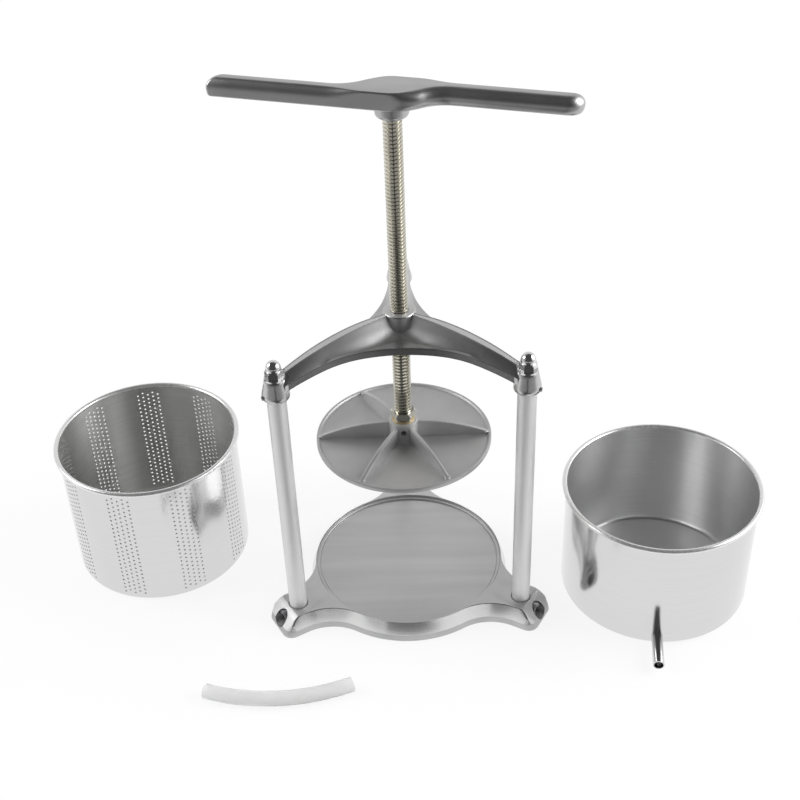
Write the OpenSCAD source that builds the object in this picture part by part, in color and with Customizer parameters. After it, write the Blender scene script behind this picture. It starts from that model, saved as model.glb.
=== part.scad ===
// Bench press for fruit and wine: a three-column frame, a screw with a two-armed handle and a
// ribbed press plate, with its perforated basket, juice pot and drain hose standing beside it.
// Millimetres, +Z up. The origin is on the floor under the screw; the front is towards -Y.

/* [Base] */
// Height of the base casting
base_h = 20; // [18:0.5:24]
// Radius of the round seat that takes the pot
seat_r = 86; // [84:0.5:90]
// Depth of the seat below the top face
seat_depth = 2; // [1.5:0.25:2.5]
// Width of the ledge inside the seat
seat_ledge = 3; // [2.5:0.25:4]
// Depth of the inner floor below the ledge
floor_depth = 1.5; // [1:0.25:2]
// Width of the wall round the seat
seat_wall = 3.6; // [2.5:0.1:5]
// Set-back of the side above the lower band
side_step = 1.1; // [0.6:0.1:2]
// Height of the straight lower band
band_h = 7.5; // [6:0.5:8.5]
// Half the width of an ear
ear_half = 20; // [18:0.5:22]
// Reach of an ear beyond its column axis
ear_over = 22.5; // [21:0.5:25]
// Radius of the hollow blend between disc and ear
ear_blend = 42; // [34:1:48]
// Lean of the ear's end face from upright, degrees
ear_slant = 26; // [18:1:30]
// Bore in the ear's end for the clamp screw
clamp_bore_d = 15; // [13.5:0.25:16]
// Thread diameter of a clamp screw
clamp_d = 8; // [6:0.5:8.5]
// Width of the groove round a column's foot
groove_w = 1.2; // [0.8:0.1:1.8]

/* [Columns] */
// Distance from the seat's edge to a column axis
column_gap = 29.5; // [28:0.5:33]
// Column diameter
column_d = 16; // [14:0.5:17]
// Depth of a column in the base
column_seat = 14; // [10:0.5:15]
// Depth of a column in the yoke
yoke_grip = 8; // [6:0.5:10]
// Diameter of the stud on top of a column
stud_d = 8; // [7:0.5:8.5]

/* [Yoke] */
// Height of the underside of the yoke's end bosses
yoke_z = 248.5; // [242:0.5:256]
// Height of an end boss
boss_h = 19; // [17:0.5:21]
// Widest radius of an end boss
boss_r = 11.4; // [11:0.1:12.5]
// Radius of an end boss at its top
boss_top_r = 8.4; // [8:0.1:9]
// Height of the yoke's top above the end bosses' underside
yoke_rise = 42.5; // [40:0.5:46]
// Height of the yoke's underside at the middle
arch_rise = 17.5; // [15:0.5:19]
// Radius of the yoke's middle hub
hub_r = 13.5; // [12.5:0.25:15]
// Half width of the land on top of an arm
land_half = 3.7; // [3:0.1:4.2]
// Spread of an arm's sides for each unit of depth
arm_flare = 0.43; // [0.38:0.01:0.48]
// Half width of an arm at its lower band
arm_half = 9.5; // [8.75:0.25:10.25]
// Height of the lower band round the yoke's edge
yoke_band = 7.3; // [6.5:0.1:8]
// Distance from the screw's axis to the edge between two arms
valley_r = 30; // [27:0.5:33]

/* [Screw and handle] */
// Screw diameter over the crests
screw_d = 15; // [13:0.5:16]
// Height of the press plate's underside as drawn
plate_z = 159.5; // [120:0.5:175]
// Length of the full screw from the press plate's hub to the handle
screw_run = 276; // [270:1:290]
// Reach of a handle arm from the screw axis
handle_reach = 140; // [120:1:155]
// Radius of the two bends of a handle arm
handle_sweep = 28; // [22:1:34]
// Radius of the boss under the handle
handle_boss_r = 13; // [12:0.25:15]
// Width of a handle arm
handle_w = 16; // [14:0.5:17]
// Half the width of the handle's middle
handle_half = 16.5; // [16:0.25:18]
// Thickness of the handle
handle_t = 14.5; // [13:0.5:17]
// Turn of the handle about the screw as drawn, degrees
handle_turn = -16.5; // [-60:0.5:60]

/* [Press plate] */
// Gap between press plate and basket wall
plate_gap = 4; // [3:0.5:7]
// Thickness of the plate's web
plate_t = 2.5; // [2:0.25:4]
// Height of the rim above the web
rim_h = 2; // [1.5:0.25:3]
// Radius of the plate's hub
plate_hub_r = 12.5; // [12:0.25:14]
// Height of the plate's hub above its underside
plate_hub_h = 21.5; // [20:0.5:24]
// Thickness of a rib
rib_t = 3.2; // [2.5:0.1:4]
// Bulge radius of a rib's upper edge
rib_arc = 146; // [120:1:200]

/* [Basket] */
// Basket height
basket_h = 131; // [120:1:140]
// Gap between basket and pot walls
basket_gap = 2; // [1.5:0.25:3]
// Diameter of a hole in the basket wall
hole_d = 2; // [1.6:0.1:2.4]
// Pitch of the holes, up and across
hole_pitch = 9.6; // [8.8:0.1:10.4]
// Bands of holes round the wall
hole_bands = 9; // [6:1:10]
// Rows of holes
hole_rows = 12; // [8:1:12]

/* [Pot] */
// Pot height
pot_h = 113.5; // [100:0.5:120]
// Gap between pot and seat
pot_gap = 2; // [1.5:0.25:3]
// Sheet thickness of pot and basket
sheet_t = 1; // [0.8:0.1:1.2]
// Radius of the rolled rims
bead_r = 2.3; // [1.8:0.1:2.6]
// Outside diameter of the spout
spout_d = 10; // [9:0.25:11]
// Length of the spout outside the pot
spout_run = 33; // [25:1:40]

/* [Hidden] */
$fn = 96;
left_turn = 210;
right_turn = 330;
rear_turn = 90;
fit = 0.05;
clear = 0.3;
crossing = 0.05;
column_circle = seat_r + column_gap;
disc_r = seat_r + seat_wall + side_step;
ear_end = column_circle + ear_over;
ear_corner = 9;
blend_y = ear_half + ear_blend;
blend_x = sqrt(pow(disc_r + ear_blend, 2) - pow(blend_y, 2));
clamp_z = base_h / 2;
clamp_wall = 4;
clamp_seat = column_circle + column_d / 2 + clamp_wall;
clamp_head_r = 6.2;
clamp_head_h = 4;
clamp_key_r = 2.9;
groove_depth = 1.2;
slant_z = 4;
shoulder_z = yoke_z + yoke_grip;
seat_z = yoke_z + boss_h;
yoke_top = yoke_z + yoke_rise;
arch_z = yoke_z + arch_rise;
arch_from = 45;
top_arc = 232;
low_arc = 240;
fold_z = arch_z + yoke_band;
web_rise = 4.2;
valley_arc = (valley_r * sin(60) - arm_half) / (1 - sin(60));
valley_x = (valley_r + valley_arc) * cos(60);
valley_y = (valley_r + valley_arc) * sin(60);
arm_side = arm_half - 0.4;
arm_deep = (arm_side - land_half) / arm_flare;
arm_root = 2;
arm_from = arm_side / tan(60) + 1;
boss_bevel = 2;
boss_wide_z = 5.5;
set_z = yoke_z + yoke_grip / 2;
set_r = 2;
set_key_r = 1.1;
set_out = 0.7;
washer_t = 1.5;
washer_r = 8.2;
nut_z = seat_z + washer_t;
nut_h = 15;
nut_af = 13;
nut_dome = 6.2;
nut_hex_h = 7;
nut_depth = 10;
stud_up = 9;
screw_r = screw_d / 2;
spigot_r = 5;
spigot_foot = 5;
grub_r = 2.5;
grub_l = 5;
grub_key_r = 1.4;
grub_z = plate_z + 13.7;
neck_r = spigot_r - 1;
neck_h = 2 * grub_r + 0.4;
hub_top = plate_z + plate_hub_h;
thrust_t = 2.5;
thrust_r = 10;
screw_from = hub_top + thrust_t;
lock_h = 7;
lock_r = 10.6;
boss_drop = 10;
boss_round = 4;
handle_z = screw_from + screw_run + boss_drop;
handle_grip = 8;
handle_flat = 6;
tip_corner = 2.5;
tip_round = handle_w - tip_corner - 1;
tip_fade = 19;
handle_bevel = 4.7;
bevel_from = 18;
bevel_run = 27;
pot_r = seat_r - pot_gap;
basket_r = pot_r - sheet_t - basket_gap;
plate_r = basket_r - sheet_t - plate_gap;
bowl_corner = 5;
hole_step = hole_pitch / basket_r * 180 / PI;
rim_w = 3.4;
rim_lean = 1.2;
rib_drop = 3.5;
rib_turns = [0, 120, 180, 240, 300];
pad_r = 2.4;
beside_basket = 18;
beside_pot = 4;
basket_at = [-ear_end - basket_r - beside_basket, 52];
pot_at = [ear_end + pot_r + beside_pot, -19];
basket_turn = -61.5;
spout_turn = 263;
spout_z = 9;
spout_wall = 1;
spout_in = 0.5;
spout_step = 0.3;
hose_d = 13;
hose_wall = 1.5;
hose_bend = 170;
hose_at = [-117, 13];
hose_from = 249.5;
hose_sweep = 43.5;

module base() {
    color("silver")
    difference() {
        union() {
            linear_extrude(band_h)
            base_plan(0);
            linear_extrude(base_h)
            base_plan(side_step);
        }
        translate([0, 0, base_h - seat_depth])
        cylinder(h = seat_depth + 1, r = seat_r);
        translate([0, 0, base_h - seat_depth - floor_depth])
        cylinder(h = floor_depth + 1, r = seat_r - seat_ledge);
        for (a = [left_turn, right_turn, rear_turn])
            rotate(a)
            ear_cuts();
    }
}

// The casting's outline, drawn in all round by a step
module base_plan(step) {
    circle(r = disc_r - step, $fn = 180);
    for (a = [left_turn, right_turn, rear_turn])
        rotate(a)
        for (s = [0, 1])
            mirror([0, s])
            ear_side(step);
}

module ear_side(step) {
    translate([0, -1])
    square([ear_end - ear_corner, ear_half - step + 1]);
    translate([column_circle, -1])
    square([ear_end - step - column_circle, ear_half - ear_corner + 1]);
    translate([ear_end - ear_corner, ear_half - ear_corner])
    circle(r = ear_corner - step);
    difference() {
        polygon([[0, 0], [blend_x, 0], [blend_x, blend_y]]);
        translate([blend_x, blend_y])
        circle(r = ear_blend + step + crossing, $fn = 180);
    }
}

module ear_cuts() {
    translate([column_circle, 0, base_h - column_seat])
    cylinder(h = column_seat + 1, d = column_d + 2 * fit);
    translate([column_circle, 0, base_h - groove_depth])
    cylinder(h = groove_depth + 1, d = column_d + 2 * groove_w);
    translate([ear_end, 0, slant_z])
    rotate([0, -ear_slant, 0])
    translate([0, -2 * ear_half, 0])
    cube([2 * ear_half, 4 * ear_half, 3 * base_h]);
    translate([clamp_seat, 0, clamp_z])
    rotate([0, 90, 0])
    cylinder(h = 2 * ear_over, d = clamp_bore_d);
    translate([column_circle, 0, clamp_z])
    rotate([0, 90, 0])
    cylinder(h = ear_over, d = clamp_d + 2 * fit);
}

module column(a) {
    color("gainsboro")
    rotate(a)
    translate([column_circle, 0, 0])
    union() {
        translate([0, 0, base_h - column_seat])
        cylinder(h = shoulder_z - base_h + column_seat, d = column_d);
        translate([0, 0, shoulder_z - 1])
        cylinder(h = nut_z + stud_up + 1 - shoulder_z, d = stud_d);
    }
}

module column_left() {
    column(left_turn);
}

module column_right() {
    column(right_turn);
}

module column_rear() {
    column(rear_turn);
}

module yoke() {
    color("silver")
    difference() {
        union() {
            intersection() {
                rotate_extrude()
                band_profile();
                translate([0, 0, yoke_z])
                linear_extrude(yoke_rise + boss_h)
                yoke_plan();
            }
            for (a = [left_turn, right_turn, rear_turn])
                rotate(a)
                arm();
            for (a = [left_turn, right_turn, rear_turn])
                rotate(a)
                translate([column_circle, 0, yoke_z])
                rotate_extrude()
                boss_profile();
        }
        translate([0, 0, yoke_z])
        cylinder(h = yoke_rise + boss_h, r = screw_r + fit);
        for (a = [left_turn, right_turn, rear_turn])
            rotate(a)
            yoke_cuts();
    }
}

module yoke_plan() {
    for (a = [left_turn, right_turn, rear_turn])
        rotate(a) {
            translate([0, -arm_half])
            square([column_circle, 2 * arm_half]);
            difference() {
                polygon([
                    [0, 0], [valley_x, 0], [valley_x, valley_y],
                    [valley_x * cos(120), valley_x * sin(120)]
                ]);
                translate([valley_x, valley_y])
                circle(r = valley_arc + crossing, $fn = 360);
            }
        }
}

module band_profile() {
    difference() {
        union() {
            translate([0, yoke_z])
            square([arch_from, fold_z - yoke_z]);
            intersection() {
                translate([arch_from, fold_z - low_arc])
                circle(r = low_arc, $fn = 360);
                translate([arch_from - 1, yoke_z])
                square([column_circle, fold_z - yoke_z]);
            }
            polygon([
                [0, fold_z - 1], [2 * hub_r, fold_z - 1], [2 * hub_r, fold_z],
                [hub_r, fold_z + web_rise], [hub_r, yoke_top - 1],
                [hub_r - 1.5, yoke_top + 0.5], [0, yoke_top + 0.5]
            ]);
        }
        arch_cut(0);
    }
}

module arch_cut(lift) {
    translate([-1, yoke_z - 1])
    square([arch_from + 1, arch_z - yoke_z + 1 + lift]);
    translate([arch_from, arch_z + lift - low_arc])
    circle(r = low_arc, $fn = 360);
}

module arm() {
    intersection() {
        translate([hub_r, 0, yoke_top - top_arc])
        rotate([90, 0, 0])
        rotate_extrude($fn = 360)
        polygon([
            [top_arc, -land_half], [top_arc, land_half],
            [top_arc - arm_deep, arm_side], [top_arc - 2 * yoke_rise, arm_side],
            [top_arc - 2 * yoke_rise, -arm_side], [top_arc - arm_deep, -arm_side]
        ]);
        translate([arm_from, -arm_half, yoke_z])
        cube([column_circle - arm_from, 2 * arm_half, yoke_rise + 1]);
        rotate_extrude()
        difference() {
            translate([0, yoke_z])
            square([2 * column_circle, yoke_rise + 2]);
            arch_cut(arm_root);
        }
    }
}

module boss_profile() {
    polygon([
        [0, 0], [boss_r - boss_bevel, 0], [boss_r, boss_bevel], [boss_r, boss_wide_z],
        [boss_top_r, boss_h], [0, boss_h]
    ]);
}

module yoke_cuts() {
    translate([column_circle, 0, yoke_z - 1])
    cylinder(h = shoulder_z - yoke_z + 1, d = column_d + 2 * fit);
    translate([column_circle, 0, yoke_z])
    cylinder(h = boss_h + 10, d = stud_d + 2 * clear);
    translate([column_circle, 0, seat_z])
    cylinder(h = nut_h + boss_h, r = washer_r + 2 * clear);
    translate([column_circle, 0, set_z])
    rotate([0, 90, 0])
    cylinder(h = 20, r = set_r + fit);
}

module clamp_screw(a) {
    color("dimgray")
    rotate(a)
    translate([0, 0, clamp_z])
    rotate([0, 90, 0])
    difference() {
        union() {
            translate([0, 0, column_circle + column_d / 2 + 2 * fit])
            cylinder(h = clamp_wall + 1, d = clamp_d);
            translate([0, 0, clamp_seat])
            cylinder(h = clamp_head_h, r = clamp_head_r);
        }
        translate([0, 0, clamp_seat + clamp_head_h - 2.5])
        cylinder(h = clamp_head_h, r = clamp_key_r, $fn = 6);
    }
}

module clamp_screw_left() {
    clamp_screw(left_turn);
}

module clamp_screw_right() {
    clamp_screw(right_turn);
}

module clamp_screw_rear() {
    clamp_screw(rear_turn);
}

module set_screw(a) {
    color("dimgray")
    rotate(a)
    translate([column_circle, 0, set_z])
    rotate([0, 90, 0])
    difference() {
        translate([0, 0, column_d / 2 + 2 * fit])
        cylinder(h = boss_r - column_d / 2 + set_out, r = set_r);
        translate([0, 0, boss_r + set_out - 1.5])
        cylinder(h = 3, r = set_key_r, $fn = 6);
    }
}

module set_screw_left() {
    set_screw(left_turn);
}

module set_screw_right() {
    set_screw(right_turn);
}

module set_screw_rear() {
    set_screw(rear_turn);
}

module washer(a) {
    color("lightgray")
    rotate(a)
    translate([column_circle, 0, seat_z])
    difference() {
        cylinder(h = washer_t, r = washer_r);
        translate([0, 0, -1])
        cylinder(h = washer_t + 2, d = stud_d + 2 * clear);
    }
}

module washer_left() {
    washer(left_turn);
}

module washer_right() {
    washer(right_turn);
}

module washer_rear() {
    washer(rear_turn);
}

module acorn_nut(a) {
    color("whitesmoke")
    rotate(a)
    translate([column_circle, 0, nut_z])
    difference() {
        union() {
            intersection() {
                rotate(30)
                cylinder(h = nut_hex_h, d = nut_af / cos(30), $fn = 6);
                cylinder(h = nut_hex_h, r1 = nut_af / 2 + 4, r2 = nut_af / 2);
            }
            cylinder(h = nut_h - nut_dome, r = nut_dome);
            translate([0, 0, nut_h - nut_dome])
            sphere(r = nut_dome);
        }
        translate([0, 0, -1])
        cylinder(h = nut_depth + 1, d = stud_d + 2 * fit);
    }
}

module acorn_nut_left() {
    acorn_nut(left_turn);
}

module acorn_nut_right() {
    acorn_nut(right_turn);
}

module acorn_nut_rear() {
    acorn_nut(rear_turn);
}

module press_screw() {
    color("tan")
    difference() {
        union() {
            translate([0, 0, screw_from])
            cylinder(h = screw_run + boss_drop + handle_grip, r = screw_r);
            translate([0, 0, plate_z + spigot_foot + clear])
            cylinder(h = screw_from - plate_z - spigot_foot, r = spigot_r);
        }
        translate([0, 0, grub_z - neck_h / 2])
        difference() {
            cylinder(h = neck_h, r = spigot_r + 2);
            translate([0, 0, -1])
            cylinder(h = neck_h + 2, r = neck_r);
        }
    }
}

module lock_nut() {
    color("tan")
    translate([0, 0, screw_from])
    difference() {
        intersection() {
            cylinder(h = lock_h, r = lock_r, $fn = 6);
            cylinder(h = lock_h, r1 = lock_r + 3.4, r2 = lock_r - 1);
        }
        translate([0, 0, -1])
        cylinder(h = lock_h + 2, r = screw_r + fit);
    }
}

module thrust_washer() {
    color("goldenrod")
    translate([0, 0, hub_top])
    difference() {
        cylinder(h = thrust_t, r = thrust_r);
        translate([0, 0, -1])
        cylinder(h = thrust_t + 2, r = spigot_r + fit);
    }
}

module handle() {
    color("gray")
    difference() {
        union() {
            rotate(handle_turn)
            translate([0, 0, handle_z])
            difference() {
                linear_extrude(handle_t)
                handle_plan();
                for (a = [0, 180])
                    rotate(a)
                    handle_cuts();
            }
            translate([0, 0, handle_z - boss_drop])
            rotate_extrude()
            handle_boss();
        }
        translate([0, 0, handle_z - boss_drop - 1])
        cylinder(h = boss_drop + handle_grip + 1 + clear, r = screw_r + fit);
        rotate(handle_turn + 90)
        translate([0, 0, handle_z - boss_drop / 2])
        rotate([0, 90, 0])
        cylinder(h = handle_boss_r + 5, r = grub_r + fit);
    }
}

module handle_plan() {
    for (s = [0, 180])
        rotate(s)
        handle_side();
}

module handle_side() {
    shift = 2 * handle_half - handle_w;
    turn = acos(1 - shift / (2 * handle_sweep));
    mid_x = handle_flat + handle_sweep * sin(turn);
    end_x = handle_flat + 2 * handle_sweep * sin(turn);
    inner = handle_half - handle_w;
    translate([-handle_flat - 1, -handle_half])
    square([2 * handle_flat + 2, 2 * handle_half]);
    translate([0, inner])
    square([handle_reach - tip_round, handle_w]);
    intersection() {
        translate([handle_reach - tip_round, inner])
        square([tip_round + 1, tip_round]);
        translate([handle_reach - tip_round, inner + tip_round])
        circle(r = tip_round);
    }
    translate([handle_reach - tip_round - 1, inner + tip_round])
    square([tip_round - tip_corner + 1, handle_w - tip_round]);
    translate([handle_reach - tip_corner - 1, inner + tip_round])
    square([tip_corner + 1, handle_w - tip_round - tip_corner]);
    translate([handle_reach - tip_corner, handle_half - tip_corner])
    circle(r = tip_corner);
    intersection() {
        translate([0, -handle_half])
        square([mid_x, 2 * handle_half]);
        translate([handle_flat, handle_sweep - handle_half])
        circle(r = handle_sweep);
    }
    difference() {
        translate([mid_x, -handle_half])
        square([end_x - mid_x, 2 * handle_half]);
        translate([end_x, inner - handle_sweep])
        circle(r = handle_sweep);
    }
}

module handle_cuts() {
    intersection() {
        translate([0, handle_half - handle_bevel, handle_t])
        rotate([-45, 0, 0])
        translate([0, -handle_w, 0])
        cube([2 * handle_reach, 2 * handle_w, handle_w]);
        translate([bevel_from, handle_half, handle_t])
        rotate([-45, 0, 0])
        rotate([0, atan2(handle_bevel * sin(45), bevel_run), 0])
        translate([0, -handle_w, 0])
        cube([2 * handle_reach, 2 * handle_w, handle_w]);
        translate([handle_reach, handle_half, handle_t])
        rotate([-45, 0, 0])
        rotate([0, -atan2(handle_bevel * sin(45), tip_fade), 0])
        translate([-2 * handle_reach, -handle_w, 0])
        cube([2 * handle_reach, 2 * handle_w, handle_reach]);
    }
}

module handle_boss() {
    square([handle_boss_r - boss_round, boss_drop + 1]);
    translate([0, boss_round])
    square([handle_boss_r, boss_drop + 1 - boss_round]);
    translate([handle_boss_r - boss_round, boss_round])
    circle(r = boss_round);
}

module handle_grub_screw() {
    color("dimgray")
    rotate(handle_turn + 90)
    translate([0, 0, handle_z - boss_drop / 2])
    rotate([0, 90, 0])
    difference() {
        translate([0, 0, screw_r + 2 * fit])
        cylinder(h = grub_l, r = grub_r);
        translate([0, 0, screw_r + grub_l / 2])
        cylinder(h = grub_l, r = grub_key_r, $fn = 6);
    }
}

module press_plate() {
    color("darkgray")
    difference() {
        union() {
            translate([0, 0, plate_z])
            cylinder(h = plate_t, r = plate_r);
            rim();
            translate([0, 0, plate_z])
            cylinder(h = plate_hub_h, r = plate_hub_r);
            for (a = rib_turns)
                rotate(a)
                rib();
        }
        translate([0, 0, plate_z + spigot_foot])
        cylinder(h = plate_hub_h, r = spigot_r + fit);
        translate([0, 0, grub_z])
        rotate([90, 0, 0])
        cylinder(h = plate_hub_r + 5, r = grub_r + fit);
    }
}

module rim() {
    translate([0, 0, plate_z])
    difference() {
        cylinder(h = plate_t + rim_h, r = plate_r);
        translate([0, 0, plate_t])
        cylinder(h = rim_h + 1, r1 = plate_r - rim_w, r2 = plate_r - rim_w + rim_lean);
    }
}

module rib() {
    low = plate_t + rim_h - 0.2;
    high = plate_hub_h - rib_drop;
    from_x = plate_hub_r;
    to_x = plate_r - rim_w / 2;
    span = sqrt(pow(to_x - from_x, 2) + pow(high - low, 2));
    lean = atan2(low - high, to_x - from_x);
    sag = sqrt(pow(rib_arc, 2) - pow(span / 2, 2));
    translate([0, rib_t / 2, plate_z])
    rotate([90, 0, 0])
    linear_extrude(rib_t)
    intersection() {
        translate([(from_x + to_x) / 2 + sag * sin(lean), (high + low) / 2 - sag * cos(lean)])
        circle(r = rib_arc, $fn = 360);
        translate([5, 1])
        square([to_x - 5, plate_hub_h]);
    }
    translate([to_x - rim_w, 0, plate_z + 1])
    cylinder(h = plate_t + rim_h - 0.4, r = pad_r);
}

module plate_grub_screw() {
    color("dimgray")
    translate([0, 0, grub_z])
    rotate([90, 0, 0])
    difference() {
        translate([0, 0, neck_r + clear])
        cylinder(h = grub_l, r = grub_r);
        translate([0, 0, neck_r + grub_l / 2])
        cylinder(h = grub_l, r = grub_key_r, $fn = 6);
    }
}

module bowl(r, h) {
    rotate_extrude() {
        square([r - bowl_corner, sheet_t]);
        translate([r - sheet_t, bowl_corner])
        square([sheet_t, h - bowl_corner - bead_r]);
        translate([r - bowl_corner, bowl_corner])
        difference() {
            intersection() {
                circle(r = bowl_corner);
                translate([0, -bowl_corner])
                square(bowl_corner);
            }
            circle(r = bowl_corner - sheet_t);
        }
        translate([r - sheet_t + bead_r, h - bead_r])
        circle(r = bead_r);
    }
}

module basket() {
    color("lightsteelblue")
    translate(basket_at)
    difference() {
        bowl(basket_r, basket_h);
        for (band = [0 : hole_bands - 1])
            for (column = [-1 : 1])
                rotate(basket_turn + 360 / hole_bands * band + column * hole_step)
                hole_column(column);
    }
}

module hole_column(column) {
    start = bowl_corner + 4 + (abs(column) % 2) * hole_pitch / 2;
    for (row = [0 : hole_rows - 1])
        translate([basket_r - 3, 0, start + row * hole_pitch])
        rotate([0, 90, 0])
        cylinder(h = 5, d = hole_d);
}

module pot() {
    color("lightsteelblue")
    translate(pot_at)
    difference() {
        bowl(pot_r, pot_h);
        rotate(spout_turn)
        translate([pot_r - spout_d / 2, 0, spout_z])
        rotate([0, 90, 0])
        cylinder(h = spout_d, d = spout_d - 2 * spout_step + 2 * fit);
    }
}

module spout() {
    color("lightsteelblue")
    translate(pot_at)
    rotate(spout_turn)
    translate([pot_r - sheet_t - spout_in, 0, spout_z])
    rotate([0, 90, 0])
    difference() {
        union() {
            cylinder(h = spout_run + sheet_t + spout_in, d = spout_d - 2 * spout_step);
            translate([0, 0, sheet_t + spout_in + 2 * fit])
            cylinder(h = spout_run - 2 * fit, d = spout_d);
        }
        translate([0, 0, -1])
        cylinder(h = spout_run + sheet_t + spout_in + 2, d = spout_d - 2 * spout_wall);
    }
}

module drain_hose() {
    color("white")
    translate([hose_at[0], hose_at[1], hose_d / 2])
    rotate(hose_from)
    rotate_extrude(angle = hose_sweep)
    translate([hose_bend, 0])
    difference() {
        circle(d = hose_d);
        circle(d = hose_d - 2 * hose_wall);
    }
}

base();
column_left();
column_right();
column_rear();
yoke();
clamp_screw_left();
clamp_screw_right();
clamp_screw_rear();
set_screw_left();
set_screw_right();
set_screw_rear();
washer_left();
washer_right();
washer_rear();
acorn_nut_left();
acorn_nut_right();
acorn_nut_rear();
press_screw();
handle();
handle_grub_screw();
lock_nut();
thrust_washer();
press_plate();
plate_grub_screw();
basket();
pot();
spout();
drain_hose();
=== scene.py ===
import math

import bpy
from mathutils import Matrix, Vector


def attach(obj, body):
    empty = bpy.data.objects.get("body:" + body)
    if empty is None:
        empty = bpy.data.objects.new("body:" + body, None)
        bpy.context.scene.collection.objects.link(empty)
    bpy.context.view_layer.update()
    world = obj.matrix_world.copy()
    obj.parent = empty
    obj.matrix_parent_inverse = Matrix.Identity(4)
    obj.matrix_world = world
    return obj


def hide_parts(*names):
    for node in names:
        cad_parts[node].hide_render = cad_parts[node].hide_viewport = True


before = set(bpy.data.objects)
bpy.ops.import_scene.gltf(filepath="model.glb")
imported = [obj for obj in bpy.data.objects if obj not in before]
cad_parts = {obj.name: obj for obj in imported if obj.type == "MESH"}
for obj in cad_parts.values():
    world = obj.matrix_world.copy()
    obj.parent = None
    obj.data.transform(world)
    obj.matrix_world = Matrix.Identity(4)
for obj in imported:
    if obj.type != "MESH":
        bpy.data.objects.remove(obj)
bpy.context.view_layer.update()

mm = 0.001
fullTurn = 2 * math.pi
print("frame loaded:", len(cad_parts), "nodes")


# small hand tools

def deselectAll():
    if bpy.context.mode != "OBJECT":
        bpy.ops.object.mode_set(mode="OBJECT")
    bpy.ops.object.select_all(action="DESELECT")


def takePiece(piece):
    deselectAll()
    piece.select_set(True)
    bpy.context.view_layer.objects.active = piece


def editPiece(piece):
    takePiece(piece)
    bpy.ops.object.mode_set(mode="EDIT")
    bpy.ops.mesh.select_mode(type="VERT")
    bpy.ops.mesh.select_all(action="SELECT")


def leaveEdit():
    bpy.ops.object.mode_set(mode="OBJECT")


def applyModifiers(piece):
    takePiece(piece)
    for modifier in list(piece.modifiers):
        bpy.ops.object.modifier_apply(modifier=modifier.name)


def cleanMesh(piece):
    editPiece(piece)
    bpy.ops.mesh.remove_doubles(threshold=1e-6)
    bpy.ops.mesh.normals_make_consistent(inside=False)
    leaveEdit()


def cutWith(piece, cutter, operation="DIFFERENCE"):
    change = piece.modifiers.new(operation.lower(), "BOOLEAN")
    change.operation = operation
    change.solver = "EXACT"
    change.object = cutter
    applyModifiers(piece)
    bpy.data.objects.remove(cutter)


def wearFinish(piece, *names):
    piece.data.materials.clear()
    for name in names:
        piece.data.materials.append(finishes[name])


def placePiece(piece, body, node, smoothDegrees):
    takePiece(piece)
    bpy.ops.object.shade_smooth_by_angle(angle=math.radians(smoothDegrees))
    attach(piece, body)
    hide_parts(node)


def toMetres(point):
    return [value * mm for value in point]


def turnPoint(x, y, degrees):
    angle = math.radians(degrees)
    return x * math.cos(angle) - y * math.sin(angle), x * math.sin(angle) + y * math.cos(angle)


def outwardAt(degrees):
    return Vector((*turnPoint(1, 0, degrees), 0))


def spotAt(degrees, reach):
    return outwardAt(degrees) * reach * mm


def arcPoints(centre, radius, fromDegrees, toDegrees, count):
    points = []
    for step in range(count):
        angle = math.radians(fromDegrees + (toDegrees - fromDegrees) * step / (count - 1))
        points.append((centre[0] + radius * math.cos(angle), centre[1] + radius * math.sin(angle)))
    return points


# value read off a few stations, with straight lines between them
def readStations(stations, value):
    for (start, first), (end, last) in zip(stations, stations[1:]):
        if value <= end:
            share = min(1.0, max(0.0, (value - start) / (end - start)))
            return first + (last - first) * share
    return stations[-1][1]


# round bore about a spot at some height, upright or lying along a direction in plan
def boreInto(piece, radius, depth, spot, height, sides=48, along=None):
    deselectAll()
    turn = (0, 0, 0) if along is None else (0, math.pi / 2, math.radians(along))
    bpy.ops.mesh.primitive_cylinder_add(vertices=sides, radius=radius * mm, depth=depth * mm,
                                        location=(spot.x, spot.y, height * mm), rotation=turn)
    cutWith(piece, bpy.context.object)


# a skin drawn by extruding one closed loop through a list of loops, in millimetres
def extrudeLoops(name, loops, capped=False):
    deselectAll()
    count = len(loops[0])
    bpy.ops.mesh.primitive_circle_add(vertices=count, radius=1.0)
    piece = bpy.context.object
    piece.name = name
    mesh = piece.data
    for vertex, point in zip(mesh.vertices, loops[0]):
        vertex.co = toMetres(point)
    last = list(range(count))
    editPiece(piece)
    if capped:
        bpy.ops.mesh.edge_face_add()
        bpy.ops.mesh.select_all(action="DESELECT")
        leaveEdit()
        for part in (*mesh.vertices, *mesh.edges):
            part.select = True
        for face in mesh.polygons:
            face.select = False
        bpy.ops.object.mode_set(mode="EDIT")
        bpy.ops.mesh.select_mode(type="EDGE")
    for loop in loops[1:]:
        bpy.ops.mesh.extrude_edges_move()
        leaveEdit()
        first = len(mesh.vertices) - count
        grown = {min(edge.vertices): max(edge.vertices) for edge in mesh.edges
                 if min(edge.vertices) < first <= max(edge.vertices)}
        last = [grown[vertex] for vertex in last]
        for vertex, point in zip(last, loop):
            mesh.vertices[vertex].co = toMetres(point)
        bpy.ops.object.mode_set(mode="EDIT")
    if capped:
        bpy.ops.mesh.edge_face_add()
    bpy.ops.mesh.select_mode(type="VERT")
    leaveEdit()
    cleanMesh(piece)
    return piece


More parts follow.
